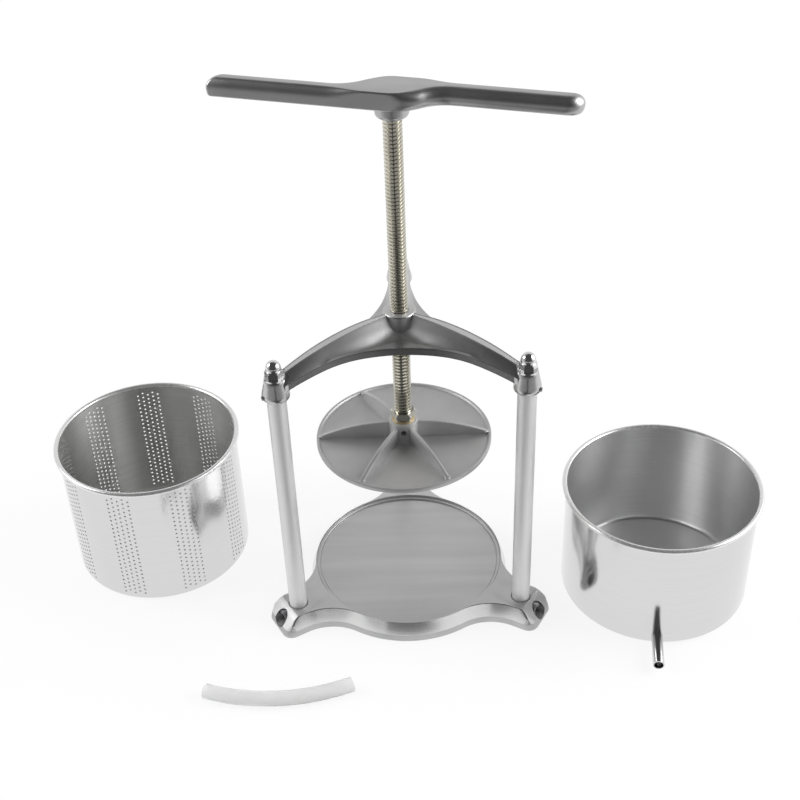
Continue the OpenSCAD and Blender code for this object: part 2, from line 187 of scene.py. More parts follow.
# an open line, drawn point by point in metres
def drawLine(name, points):
    deselectAll()
    bpy.ops.mesh.primitive_plane_add(size=2 * mm)
    piece = bpy.context.object
    piece.name = name
    editPiece(piece)
    bpy.ops.mesh.merge(type="CENTER")
    leaveEdit()
    piece.data.vertices[0].co = points[0]
    editPiece(piece)
    for start, end in zip(points, points[1:]):
        bpy.ops.mesh.extrude_vertices_move(TRANSFORM_OT_translate={"value": end - start})
    leaveEdit()
    return piece


# a turned piece: the half section is drawn at a spot, then spun
def turnSection(name, section, spot=(0, 0, 0), steps=96):
    centre = Vector(spot)
    piece = drawLine(name, [centre + Vector((r * mm, 0, z * mm)) for r, z in section])
    editPiece(piece)
    bpy.ops.mesh.spin(steps=steps, angle=fullTurn, center=centre, axis=(0, 0, 1))
    leaveEdit()
    cleanMesh(piece)
    return piece


# camera, from the photograph's own perspective

cameraLook = {"place": (8.113, -897.16, 859.30), "yaw": -0.662, "pitch": 36.312, "roll": -2.227,
              "focalPixels": 1303.96, "imagePixels": 800, "sensor": 36}


def makeCamera():
    yaw, pitch, roll = (math.radians(cameraLook[k]) for k in ("yaw", "pitch", "roll"))
    ahead = Vector((math.sin(yaw) * math.cos(pitch), math.cos(yaw) * math.cos(pitch), -math.sin(pitch)))
    across = Vector((math.cos(yaw), -math.sin(yaw), 0))
    upward = across.cross(ahead)
    right = math.cos(roll) * across + math.sin(roll) * upward
    top = math.cos(roll) * upward - math.sin(roll) * across
    camera = bpy.data.objects.new("camera", bpy.data.cameras.new("camera"))
    bpy.context.scene.collection.objects.link(camera)
    turn = Matrix((right, top, -ahead)).transposed().to_4x4()
    camera.matrix_world = Matrix.Translation(Vector(cameraLook["place"]) * mm) @ turn
    camera.data.sensor_width = cameraLook["sensor"]
    camera.data.lens = cameraLook["sensor"] * cameraLook["focalPixels"] / cameraLook["imagePixels"]
    camera.data.clip_start = 0.01
    camera.data.clip_end = 50
    bpy.context.scene.camera = camera


makeCamera()
bpy.context.scene.view_settings.view_transform = "Standard"
print("camera set")


# material helpers

class NodeSheet:
    def __init__(self, tree):
        self.tree = tree

    def add(self, kind, values=None, **settings):
        node = self.tree.nodes.new(kind)
        for key, value in settings.items():
            setattr(node, key, value)
        for key, value in (values or {}).items():
            node.inputs[key].default_value = value
        return node

    def link(self, start, end):
        self.tree.links.new(start, end)

    def math(self, operation, first, second=None, clamp=False):
        node = self.add("ShaderNodeMath", operation=operation, use_clamp=clamp)
        for socket, value in ((0, first), (1, second)):
            if value is None:
                continue
            if isinstance(value, (int, float)):
                node.inputs[socket].default_value = value
            else:
                self.link(value, node.inputs[socket])
        return node.outputs[0]

    def chain(self, operation, values):
        total = values[0]
        for value in values[1:]:
            total = self.math(operation, total, value)
        return total

    def times(self, *values):
        return self.chain("MULTIPLY", values)

    def plus(self, *values):
        return self.chain("ADD", values)

    def most(self, *values):
        return self.chain("MAXIMUM", values)

    def ramp(self, value, low, high, fromLow=0.0, fromHigh=1.0, kind="LINEAR"):
        node = self.add("ShaderNodeMapRange", {"From Min": fromLow, "From Max": fromHigh, "To Min": low,
                                               "To Max": high}, interpolation_type=kind)
        self.link(value, node.inputs["Value"])
        return node.outputs[0]

    def smooth(self, value, fromLow, fromHigh):
        return self.ramp(value, 0.0, 1.0, fromLow, fromHigh, "SMOOTHSTEP")

    def split(self, vector):
        node = self.add("ShaderNodeSeparateXYZ")
        self.link(vector, node.inputs[0])
        return tuple(node.outputs)

    def reach(self, x, y):
        return self.math("SQRT", self.plus(self.times(x, x), self.times(y, y)))

    def noise(self, place, name, result, **values):
        node = self.add("ShaderNodeTexNoise", values)
        self.link(place, node.inputs["Vector"])
        self.link(node.outputs["Fac"], result[name])
        return node

    # straight rays from the camera or through the hose, and mirrored rays
    def rays(self):
        path = self.add("ShaderNodeLightPath").outputs
        return self.most(path["Is Camera Ray"], path["Is Transmission Ray"]), path["Is Glossy Ray"]


def startGroup(name, inputs, outputs):
    tree = bpy.data.node_groups.new(name, "ShaderNodeTree")
    for way, sockets in (("INPUT", inputs), ("OUTPUT", outputs)):
        for label, kind in sockets.items():
            tree.interface.new_socket(label, in_out=way, socket_type="NodeSocket" + kind)
    sheet = NodeSheet(tree)
    place = sheet.add("ShaderNodeTexCoord").outputs["Object"]
    return sheet, place, sheet.add("NodeGroupInput").outputs, sheet.add("NodeGroupOutput").inputs


# grain of cast metal: a fine height and a slow shade
def makeCastGrain():
    sheet, place, given, result = startGroup("castGrain", {"Fine": "Float", "Slow": "Float"},
                                             {"Height": "Float", "Shade": "Float"})
    fine = sheet.noise(place, "Height", result, Detail=3.0, Roughness=0.6)
    slow = sheet.noise(place, "Shade", result, Detail=2.0, Roughness=0.5)
    sheet.link(given["Fine"], fine.inputs["Scale"])
    sheet.link(given["Slow"], slow.inputs["Scale"])
    return sheet.tree


# brushing: lines that run along one direction, as a stretched noise
def makeBrushLines():
    sheet, place, given, result = startGroup("brushLines", {"Stretch": "Vector"},
                                             {"Lines": "Float", "Streaks": "Float"})
    stretch = sheet.add("ShaderNodeVectorMath", operation="MULTIPLY")
    sheet.link(place, stretch.inputs[0])
    sheet.link(given["Stretch"], stretch.inputs[1])
    sheet.noise(stretch.outputs[0], "Lines", result, Scale=1.0, Detail=4.0, Roughness=0.65)
    sheet.noise(stretch.outputs[0], "Streaks", result, Scale=0.18, Detail=2.0, Roughness=0.5)
    return sheet.tree


# turning marks: rings round an upright axis through a chosen point
def makeTurnMarks():
    sheet, place, given, result = startGroup("turnMarks", {"Centre": "Vector", "Rings": "Float"},
                                             {"Lines": "Float"})
    shift = sheet.add("ShaderNodeVectorMath", operation="SUBTRACT")
    sheet.link(place, shift.inputs[0])
    sheet.link(given["Centre"], shift.inputs[1])
    x, y, z = sheet.split(shift.outputs[0])
    around = sheet.math("ARCTAN2", y, x)
    rings = sheet.add("ShaderNodeCombineXYZ")
    sheet.link(sheet.times(sheet.reach(x, y), given["Rings"]), rings.inputs[0])
    sheet.link(sheet.times(sheet.math("COSINE", around), 0.6), rings.inputs[1])
    sheet.noise(rings.outputs[0], "Lines", result, Scale=1.0, Detail=3.0, Roughness=0.6)
    return sheet.tree


castGrain = makeCastGrain()
brushLines = makeBrushLines()
turnMarks = makeTurnMarks()


def startFinish(name, rough, metallic=1.0):
    finish = bpy.data.materials.new(name)
    finish.use_nodes = True
    shader = finish.node_tree.nodes["Principled BSDF"]
    shader.inputs["Metallic"].default_value = metallic
    shader.inputs["Roughness"].default_value = rough
    return finish, NodeSheet(finish.node_tree), shader


def addGroup(sheet, tree, values):
    node = sheet.add("ShaderNodeGroup")
    node.node_tree = tree
    for key, value in values.items():
        node.inputs[key].default_value = value
    return node.outputs


# two shades mixed; the relief varies the roughness and gives a fine bump
def dressMetal(sheet, shader, shades, shade, relief, roughness, bump, depth):
    mix = sheet.add("ShaderNodeMix", data_type="RGBA")
    for socket, tone in zip((6, 7), shades):
        mix.inputs[socket].default_value = (tone, tone, tone, 1) if isinstance(tone, float) else (*tone, 1)
    sheet.link(sheet.ramp(shade, 0, 1, 0.3, 0.7), mix.inputs[0])
    sheet.link(mix.outputs[2], shader.inputs["Base Color"])
    sheet.link(sheet.ramp(relief, *roughness), shader.inputs["Roughness"])
    relieved = sheet.add("ShaderNodeBump", {"Strength": bump, "Distance": depth})
    sheet.link(relief, relieved.inputs["Height"])
    sheet.link(relieved.outputs["Normal"], shader.inputs["Normal"])


def makeCastFinish(name, shades, rough, spread=0.06, bump=0.25, metallic=1.0):
    finish, sheet, shader = startFinish(name, rough, metallic)
    grain = addGroup(sheet, castGrain, {"Fine": 900.0, "Slow": 26.0})
    dressMetal(sheet, shader, shades, grain["Shade"], grain["Height"],
               (rough - spread, rough + spread, 0.25, 0.75), bump, 0.0004)
    return finish


# streak draws the reflections out across the brushing, as upright streaks on a round wall
def makeBrushFinish(name, shades, rough, spread, bump, stretch=(90, 90, 5000), metallic=1.0, streak=0.0):
    finish, sheet, shader = startFinish(name, rough, metallic)
    if streak:
        around = sheet.add("ShaderNodeTangent", direction_type="RADIAL", axis="Z")
        sheet.link(around.outputs[0], shader.inputs["Tangent"])
        shader.inputs["Anisotropic"].default_value = streak
        shader.inputs["Anisotropic Rotation"].default_value = 0.25
    lines = addGroup(sheet, brushLines, {"Stretch": stretch})
    dressMetal(sheet, shader, shades, lines["Streaks"], lines["Lines"],
               (rough - spread, rough + spread, 0.3, 0.7), bump, 0.0002)
    return finish


def makeTurnedFinish(name, shades, centre, rough=0.36, spread=0.06, bump=0.15, metallic=1.0):
    finish, sheet, shader = startFinish(name, rough, metallic)
    marks = addGroup(sheet, turnMarks, {"Centre": centre, "Rings": 3000.0})
    dressMetal(sheet, shader, shades, marks["Lines"], marks["Lines"],
               (rough - spread, rough + spread, 0.3, 0.7), bump, 0.0002)
    return finish


castLooks = {
    "castSatin": {"shades": (0.56, 0.64), "rough": 0.42, "metallic": 0.75},
    "castPolished": {"shades": (0.52, 0.60), "rough": 0.24, "spread": 0.05, "bump": 0.1},
    "bevelCast": {"shades": (0.68, 0.74), "rough": 0.22, "spread": 0.04, "bump": 0.06},
    "castMatte": {"shades": (0.52, 0.60), "rough": 0.60},
    # rougher milled ear ends, made light and partly diffuse: painted light that brightens end faces lying in
    # shade
    "earRoughPaintedLight": {"shades": (0.80, 0.88), "rough": 0.45, "metallic": 0.6},
    "plateCast": {"shades": (0.48, 0.57), "rough": 0.50, "spread": 0.08, "metallic": 0.8},
    "handleCast": {"shades": (0.44, 0.50), "rough": 0.34, "spread": 0.05, "bump": 0.03},
    # painted shade: a darker copy of the cast finish for the yoke's sloping flanks, whose up-facing tops keep
    # the lighter satin
    "paintedShadeFlank": {"shades": (0.44, 0.52), "rough": 0.36, "bump": 0.12},
    # painted shade: a near-black copy of the cast finish, worn by the yoke's lower band
    "paintedShadeCast": {"shades": (0.17, 0.22), "rough": 0.42},
    "rimSatin": {"shades": (0.80, 0.84), "rough": 0.26, "spread": 0.04, "bump": 0.02, "metallic": 0.8},
    "screwNickel": {"shades": ((0.58, 0.56, 0.49), (0.70, 0.68, 0.61)), "rough": 0.10, "spread": 0.03,
                    "bump": 0.04},
    "nutChrome": {"shades": ((0.70, 0.70, 0.71), (0.76, 0.76, 0.77)), "rough": 0.07, "spread": 0.02,
                  "bump": 0.02},
    "fastenerSteel": {"shades": ((0.30, 0.30, 0.31), (0.42, 0.42, 0.43)), "rough": 0.32},
    "washerBronze": {"shades": ((0.62, 0.48, 0.28), (0.72, 0.58, 0.36)), "rough": 0.35},
}
brushLooks = {
    "seatBrushed": {"shades": (0.55, 0.63), "rough": 0.42, "spread": 0.05, "bump": 0.06,
                    "stretch": (24, 360, 1)},
    "columnSatin": {"shades": (0.75, 0.79), "rough": 0.50, "spread": 0.05, "bump": 0.08,
                    "stretch": (2500, 2500, 20), "metallic": 0.65},
    "potOutside": {"shades": (0.68, 0.70), "rough": 0.13, "spread": 0.03, "bump": 0.05},
    "potInside": {"shades": (0.74, 0.80), "rough": 0.33, "spread": 0.06, "bump": 0.12, "streak": 0.85},
    "basketOutside": {"shades": (0.67, 0.69), "rough": 0.15, "spread": 0.03, "bump": 0.05},
    "basketInside": {"shades": ((0.74, 0.74, 0.73), (0.82, 0.82, 0.81)), "rough": 0.36, "spread": 0.06,
                     "bump": 0.12, "streak": 0.85},
}
turnedLooks = {
    # turned marks are the real finish; the near-white, partly diffuse tone is painted light on the floor
    # inside the pot
    "turnedPotFloorPaintedLight": {"shades": (0.86, 0.93), "centre": (0.226, -0.019, 0), "metallic": 0.7},
    "basketFloor": {"shades": (0.54, 0.62), "centre": (-0.237, 0.052, 0)},
}

finishes = {name: makeCastFinish(name, **look) for name, look in castLooks.items()}
finishes.update({name: makeBrushFinish(name, **look) for name, look in brushLooks.items()})
finishes.update({name: makeTurnedFinish(name, **look) for name, look in turnedLooks.items()})
print("metal finishes made:", len(finishes))


# stage: pale floor, soft lamps, and a room that metal can reflect

floorLook = {"size": 8.0, "low": -0.0002, "paint": (0.9, 0.9, 0.9, 1), "near": -0.20, "far": -0.52,
             "dark": 0.36, "glow": 1.02, "glossy": 0.94, "pale": 0.82, "paleSpan": (0.5, 1.1),
             "patchMiddle": -0.025, "patchAcross": (0.107, 0.083), "patchAlong": (-0.134, -0.157),
             "patchShade": (0.86, 0.98), "patchSpan": (-0.28, -0.38), "wideAcross": (0.36, 0.24),
             "wideFrom": (-0.34, -0.44), "wideTo": (-0.74, -0.60), "wideShade": 0.98}


# painted reflection: two darker patches on the floor in front of the base, which only mirrored rays see
def paintedDarkReflections(sheet, x, y):
    look = floorLook
    aside = sheet.math("ABSOLUTE", sheet.math("SUBTRACT", x, look["patchMiddle"]))
    nearDarkPatch = sheet.times(sheet.smooth(aside, *look["patchAcross"]), sheet.smooth(y, *look["patchAlong"]),
                           sheet.ramp(y, *look["patchShade"], *look["patchSpan"]))
    wideAlong = sheet.times(sheet.smooth(y, *look["wideFrom"]), sheet.smooth(y, *look["wideTo"]))
    wideAcross = sheet.smooth(sheet.math("ABSOLUTE", x), *look["wideAcross"])
    wideDarkPatch = sheet.times(wideAcross, wideAlong, look["wideShade"])
    return sheet.math("SUBTRACT", 1.0, sheet.most(nearDarkPatch, wideDarkPatch), True)


def makeFloor():
    look = floorLook
    deselectAll()
    bpy.ops.mesh.primitive_plane_add(size=look["size"], location=(0, 0, look["low"]))
    floor = bpy.context.object
    floor.name = "paleFloor"
    editPiece(floor)
    bpy.ops.mesh.subdivide(number_cuts=3)
    leaveEdit()
    takePiece(floor)
    bpy.ops.object.transform_apply(location=True, rotation=True, scale=True)
    finish = bpy.data.materials.new("floorPale")
    finish.use_nodes = True
    nodes = finish.node_tree.nodes
    nodes.remove(nodes["Principled BSDF"])
    sheet = NodeSheet(finish.node_tree)
    x, y, z = sheet.split(sheet.add("ShaderNodeTexCoord").outputs["Object"])
    clear, glossy = sheet.rays()
    # painted reflection: in mirrors the floor is bright near the base and darker further in front, with the
    # dark patches on top
    near = sheet.smooth(y, look["far"], look["near"])
    mirrored = sheet.times(sheet.ramp(near, look["dark"], 1.0), paintedDarkReflections(sheet, x, y))
    pale = sheet.ramp(sheet.smooth(sheet.reach(x, y), *look["paleSpan"]), look["pale"], 1.0)
    paint = sheet.add("ShaderNodeBsdfDiffuse", {"Color": look["paint"]})
    glow = sheet.add("ShaderNodeEmission", {"Color": (1, 1, 1, 1)})
    sheet.link(sheet.most(sheet.times(clear, look["glow"]), mirrored), glow.inputs["Strength"])
    mix = sheet.add("ShaderNodeMixShader")
    sheet.link(sheet.plus(sheet.times(clear, pale), sheet.times(glossy, look["glossy"])), mix.inputs[0])
    sheet.link(paint.outputs[0], mix.inputs[1])
    sheet.link(glow.outputs[0], mix.inputs[2])
    sheet.link(mix.outputs[0], nodes["Material Output"].inputs["Surface"])
    floor.data.materials.append(finish)


roomLook = {"dark": 0.07, "right": 1.1, "left": 0.5, "back": 0.82, "ambient": 0.6, "lowSpan": (0.85, 0.45),
            "rightSpan": (0.40, 0.75), "leftSpan": (-0.50, -0.85), "rearSpan": (-0.78, -0.38),
            "backSpan": (0.15, 0.75), "highSpan": (0.93, 0.77)}


def makeRoom():
    look = roomLook
    world = bpy.data.worlds.new("studioRoom")
    bpy.context.scene.world = world
    world.use_nodes = True
    sheet = NodeSheet(world.node_tree)
    background = world.node_tree.nodes["Background"]
    x, y, z = sheet.split(sheet.add("ShaderNodeTexCoord").outputs["Generated"])
    right = sheet.times(sheet.smooth(x, *look["rightSpan"]), look["right"])
    left = sheet.times(sheet.smooth(x, *look["leftSpan"]), look["left"])
    sides = sheet.times(sheet.most(right, left), sheet.smooth(z, *look["lowSpan"]),
                        sheet.smooth(y, *look["rearSpan"]))
    back = sheet.times(sheet.smooth(y, *look["backSpan"]), sheet.smooth(z, *look["highSpan"]), look["back"])
    clear, glossy = sheet.rays()
    mirrored = sheet.times(glossy, sheet.most(sides, back, look["dark"]))
    soft = sheet.math("SUBTRACT", sheet.math("SUBTRACT", 1.0, clear, True), glossy, True)
    strength = sheet.plus(clear, mirrored, sheet.times(soft, look["ambient"]))
    sheet.link(strength, background.inputs["Strength"])
    background.inputs["Color"].default_value = (1, 1, 1, 1)


lampLooks = {"softLeft": {"place": (-1.5, 0.1, 1.1), "size": (0.9, 1.1), "watts": 12},
             "softRight": {"place": (1.5, 0.0, 1.0), "size": (1.0, 1.2), "watts": 18}}
lampTarget = (0, 0, 0.15)


def addLamp(name, place, size, watts):
    lamp = bpy.data.objects.new(name, bpy.data.lights.new(name, "AREA"))
    lamp.data.energy = watts
    lamp.data.shape = "RECTANGLE"
    lamp.data.size, lamp.data.size_y = size
    bpy.context.scene.collection.objects.link(lamp)
    lamp.location = place
    lamp.rotation_euler = (Vector(lampTarget) - Vector(place)).to_track_quat("-Z", "Y").to_euler()


makeFloor()
makeRoom()
for name, look in lampLooks.items():
    addLamp(name, **look)
print("stage ready")


# hose: a cut length of clear tube on the floor, same arc as the solid

hoseSizes = {"centre": (-117.0, 13.0), "bend": 170.0, "fromDegrees": 249.5, "sweepDegrees": 43.5,
             "outside": 13.0, "wall": 1.5, "lip": 0.35, "points": 25, "sides": 32}


def makeHoseFinish():
    finish, sheet, shader = startFinish("hoseClear", 0.18, 0.0)
    shader.inputs["Base Color"].default_value = (0.96, 0.96, 0.96, 1)
    shader.inputs["Transmission Weight"].default_value = 0.55
    shader.inputs["IOR"].default_value = 1.41
    grain = addGroup(sheet, castGrain, {"Fine": 300.0, "Slow": 40.0})
    sheet.link(sheet.ramp(grain["Shade"], 0.14, 0.26, 0.3, 0.7), shader.inputs["Roughness"])
    return finish


def makeHose():
    sizes = hoseSizes
    outer, lip, steps, sides = sizes["outside"] / 2, sizes["lip"], sizes["points"], sizes["sides"]
    path, spots = [], []
    for step in range(steps):
        outward = outwardAt(sizes["fromDegrees"] + sizes["sweepDegrees"] * step / (steps - 1))
        centre = Vector((*sizes["centre"], outer)) + outward * sizes["bend"]
        path.append(centre * mm)
        spots.append((centre, outward))

    def ring(spot, radius, shift=Vector()):
        centre, outward = spot
        return [centre + shift + radius * (math.cos(t) * outward + math.sin(t) * Vector((0, 0, 1)))
                for t in (fullTurn * k / sides for k in range(sides))]

    inward = (path[1] - path[0]).normalized() * lip
    backward = (path[-2] - path[-1]).normalized() * lip
    loops = [ring(spots[0], outer - lip), ring(spots[0], outer, inward)]
    loops += [ring(spot, outer) for spot in spots[1:-1]]
    loops += [ring(spots[-1], outer, backward), ring(spots[-1], outer - lip)]
    loops += [ring(spot, outer - sizes["wall"]) for spot in reversed(spots)]
    hose = extrudeLoops("clearHose", loops + loops[:1])
    wearFinish(hose, "hoseClear")
    placePiece(hose, "frame", "drain_hose", 40)


finishes["hoseClear"] = makeHoseFinish()
makeHose()
print("hose laid")


# the three columns stand on one circle, and base and yoke are three-armed stars about it

columnCircle = 115.5
columnTurns = (210, 330, 90)


# one closed loop from half an arm's line, mirrored and turned to the three columns
def starLoop(line, tip=()):
    side = [(x, -y, z) for x, y, z in line] + list(tip) + line[:0:-1]
    return [(*turnPoint(x, y, turn), z) for turn in sorted(columnTurns) for x, y, z in side]


# base casting: one plan outline, set in level by level, then seat, grooves and clamp bores

baseSizes = {"disc": 90.7, "earHalf": 20.0, "earEnd": 138.0, "blend": 42.0, "slant": 26.0, "slantFrom": 4.0,
             "corners": ((0.0, 9.0), (7.7, 9.0), (12.0, 2.8), (20.0, 1.6)),
             "earRound": 2.2, "roundFrom": 16.0, "height": 20.0, "seat": 86.0, "ledge": 83.0, "seatRim": 0.35,
             "levels": ((0.0, 0.9), (0.35, 0.3), (1.0, 0.0), (7.4, 0.0), (7.55, 0.02), (7.7, 0.07),
                        (12.0, 1.57), (16.0, 2.97), (17.5, 3.5), (18.6, 3.88), (19.4, 4.16), (19.85, 4.33),
                        (20.0, 4.5)),
             "ledgeHigh": 18.0, "floorHigh": 16.5, "undercut": 0.6, "undercutWide": 0.7,
             "columnBores": ((8.9, 15.5), (8.05, 6.0)), "clampBores": ((7.5, 127.5), (4.05, 112.0)),
             "boreDeep": 20.0, "clampDeep": 30.0, "clampHeight": 10.0, "bandHigh": 7.6, "earFrom": 118.0}


def baseOutline(height, inset):
    sizes = baseSizes
    disc, half, blend = sizes["disc"], sizes["earHalf"], sizes["blend"]
    corner = readStations(sizes["corners"], height)  # wide in the band, tight in the bevel
    blendY = half + blend
    blendX = math.sqrt((disc + blend) ** 2 - blendY ** 2)
    tangent = math.degrees(math.atan2(blendY, blendX))
    rounded = max(0.0, (height - sizes["roundFrom"]) / (sizes["height"] - sizes["roundFrom"])) ** 2.5
    lean = max(0.0, height - sizes["slantFrom"]) * math.tan(math.radians(sizes["slant"]))
    end = sizes["earEnd"] - lean - sizes["earRound"] * rounded - inset
    rim = sizes["seat"] + sizes["seatRim"]
    points = arcPoints((0, 0), max(disc - inset, rim), 60, tangent, 15)
    if disc - inset < rim:
        points[-1] = turnPoint((rim + disc - inset) / 2, 0, tangent)
    points += arcPoints((blendX, blendY), blend + inset, 180 + tangent, 270, 15)[1:]
    side, front = end - corner, half - inset - corner
    points += [(blendX + (side - blendX) * k / 3, half - inset) for k in (1, 2)]
    points += arcPoints((side, front), corner, 90, 0, 9) + [(end, front * 0.5)]
    return starLoop([(x, y, height) for x, y in points], [(end, 0.0, height)])


# a wall of the seat, with an eased edge and an undercut at its foot
def seatWall(radius, top, floor, ease):
    foot, wide = floor - baseSizes["undercut"], baseSizes["undercutWide"]
    return [(radius + ease, top), (radius, top - ease), (radius, foot), (radius - wide, foot),
            (radius - wide - 0.2, floor)]


def makeBase():
    sizes = baseSizes
    seat, ledge, floor = sizes["seat"], sizes["ledge"], sizes["floorHigh"]
    loops = [baseOutline(height, inset) for height, inset in sizes["levels"]]
    angles = [math.atan2(y, x) for x, y, z in loops[-1]]
    steps = seatWall(seat, sizes["height"], sizes["ledgeHigh"], 0.25)
    steps += seatWall(ledge, sizes["ledgeHigh"], floor, 0.2) + [(ledge - 2.0, floor)]
    for radius, height in steps:
        loops.append([(radius * math.cos(a), radius * math.sin(a), height) for a in angles])
    base = extrudeLoops("baseCasting", loops, capped=True)
    deep, long = sizes["boreDeep"], sizes["clampDeep"]
    for turn in columnTurns:
        for radius, low in sizes["columnBores"]:
            boreInto(base, radius, deep, spotAt(turn, columnCircle), low + deep / 2)
        for radius, start in sizes["clampBores"]:
            boreInto(base, radius, long, spotAt(turn, start + long / 2), sizes["clampHeight"], 40, turn)
    wearFinish(base, "castSatin", "bevelCast", "castMatte", "seatBrushed", "earRoughPaintedLight")
    ears = [outwardAt(turn).xy for turn in columnTurns]
    for face in base.data.polygons:
        height, radius = face.center.z / mm, face.center.xy.length / mm
        along, ear = max((face.center.xy.dot(ear), tuple(ear)) for ear in ears)
        facing = face.normal.xy.normalized().dot(Vector(ear))
        if abs(face.normal.z) > 0.9:
            face.material_index = 3 if radius < seat and height < sizes["ledgeHigh"] + 0.5 else 0
        # ear end faces: a rougher finish, with painted light in their lighter tone
        elif along > sizes["earFrom"] * mm and facing > 0.75 and height > sizes["bandHigh"]:
            face.material_index = 4
        elif radius > seat + 0.6:
            face.material_index = 2 if height < sizes["bandHigh"] else 1
    placePiece(base, "frame", "base", 28)


makeBase()
print("base cast")


# yoke casting: a low band round a flat web, three arched arms on top, then hub and end bosses

yokeSizes = {"top": 291.0, "topFrom": 13.5, "topArc": 232.0, "fold": 273.3, "foldFrom": 45.0,
             "foldArc": 240.0, "band": 7.3, "half": 9.5, "valley": 30.0, "valleyArc": 123.0,
             "valleySteps": 16, "spread": 0.43, "fillet": 17.0, "webRise": 3.0, "foldInset": 0.35,
             "landFrom": 2.2, "armEnd": 111.0, "hub": 13.5,
             "landWidths": ((6.0, 2.7), (12.5, 1.7), (22.0, 2.4), (34.0, 3.2), (46.0, 3.7), (62.0, 3.9),
                            (80.0, 3.7), (106.0, 2.7)),
             "bandEdge": ((0.9, 0.1), (0.5, 0.6), (0.35, 1.4), (0.1, 5.4), (0.0, 6.6), (0.12, 7.1)),
             "flankShares": (0.0, 0.06, 0.13, 0.21, 0.3, 0.38, 0.46, 0.54, 0.62, 0.7, 0.78, 0.86, 0.93, 1.0),
             "landEdge": ((0.05, -0.2), (0.3, 0.05), (0.65, 0.1), (1.0, -0.05), (1.25, -0.25)),
             "bossHigh": 267.5, "screwBore": 7.6, "screwDeep": 80.0,
             "columnBores": ((8.05, 16.5), (4.3, 40.0)), "boreLow": 240.0, "setBore": 2.05, "setDeep": 14.0,
             "setOut": 15.0, "setHigh": 252.5, "nutSeat": 8.8, "seatTop": 300.0}


def archDrop(run, radius):
    return radius - math.sqrt(radius ** 2 - max(0.0, run) ** 2)


def yokeTop(along):
    return yokeSizes["top"] - archDrop(along - yokeSizes["topFrom"], yokeSizes["topArc"])


def yokeFold(radius):
    return yokeSizes["fold"] - archDrop(radius - yokeSizes["foldFrom"], yokeSizes["foldArc"])


# plan line of the band's edge for half an arm, from the middle of the valley to the boss
def bandLine(inset):
    sizes = yokeSizes
    reach = sizes["valley"] + sizes["valleyArc"]
    centre = (reach * 0.5, reach * math.sqrt(3) / 2)
    line = arcPoints(centre, sizes["valleyArc"] + inset, 240, 270, sizes["valleySteps"])
    run = sizes["armEnd"] - centre[0]
    return line + [(centre[0] + run * k / 12, sizes["half"] - inset) for k in range(1, 13)]


def landHalf(along):
    return readStations(yokeSizes["landWidths"], along)


# how far along the valley a point of the band's edge lies: 1 in its middle, 0 where the arm runs straight
def valleyShare(line, x):
    start, tangent = line[0][0], line[yokeSizes["valleySteps"] - 1][0]
    return max(0.0, (tangent - x) / (tangent - start))


# plan line of the land's edge, station by station beside the band's edge
def landLine(inset):
    band = bandLine(0.0)
    tangent = band[yokeSizes["valleySteps"] - 1][0]
    line = []
    for x, y in band:
        share = valleyShare(band, x)
        along = x if share == 0 else tangent - (tangent - yokeSizes["landFrom"]) * share
        half = landHalf(along) - inset
        line.append((max(along, half / math.sqrt(3)), half))
    return line


# the arm's flank between fold and land, softly blended into the web
def flankLine(share):
    sizes = yokeSizes
    inset, valley = sizes["foldInset"], sizes["valley"]
    band, land = bandLine(inset), landLine(0.0)
    line = []
    for (bandX, bandY), (landX, landY) in zip(band, land):
        x, y = bandX + (landX - bandX) * share, bandY + (landY - bandY) * share
        radius = math.hypot(x, y)
        rise = max(0.0, (valley - radius) / (valley - sizes["hub"]))
        web = yokeFold(radius) + 0.05 + sizes["webRise"] * rise ** 1.5
        edge = yokeTop(x) - 0.55
        spread = max(sizes["spread"], (sizes["half"] - inset - landHalf(x)) / (edge - yokeFold(x)))
        flank = edge - (y - landHalf(x)) / spread
        blend = 0.01 + sizes["fillet"] * valleyShare(band, bandX) ** 0.4 * (1 - share ** 4)
        part = min(1.0, max(0.0, 0.5 + 0.5 * (flank - web) / blend))
        line.append((x, y, flank * part + web * (1 - part) + blend * part * (1 - part)))
    return line


def liftBand(inset, lift):
    return [(x, y, yokeFold(math.hypot(x, y)) - yokeSizes["band"] + lift) for x, y in bandLine(inset)]


def liftLand(inset, lift):
    return [(x, y, yokeTop(x) + lift) for x, y in landLine(inset)]


# a line drawn in to the arm's middle, where the skin closes
def axisLine(line, heightAt):
    inward = [x * min(1.0, k / 8) for k, (x, y, z) in enumerate(line)]
    return [(x, 0.0, heightAt(x)) for x in inward]


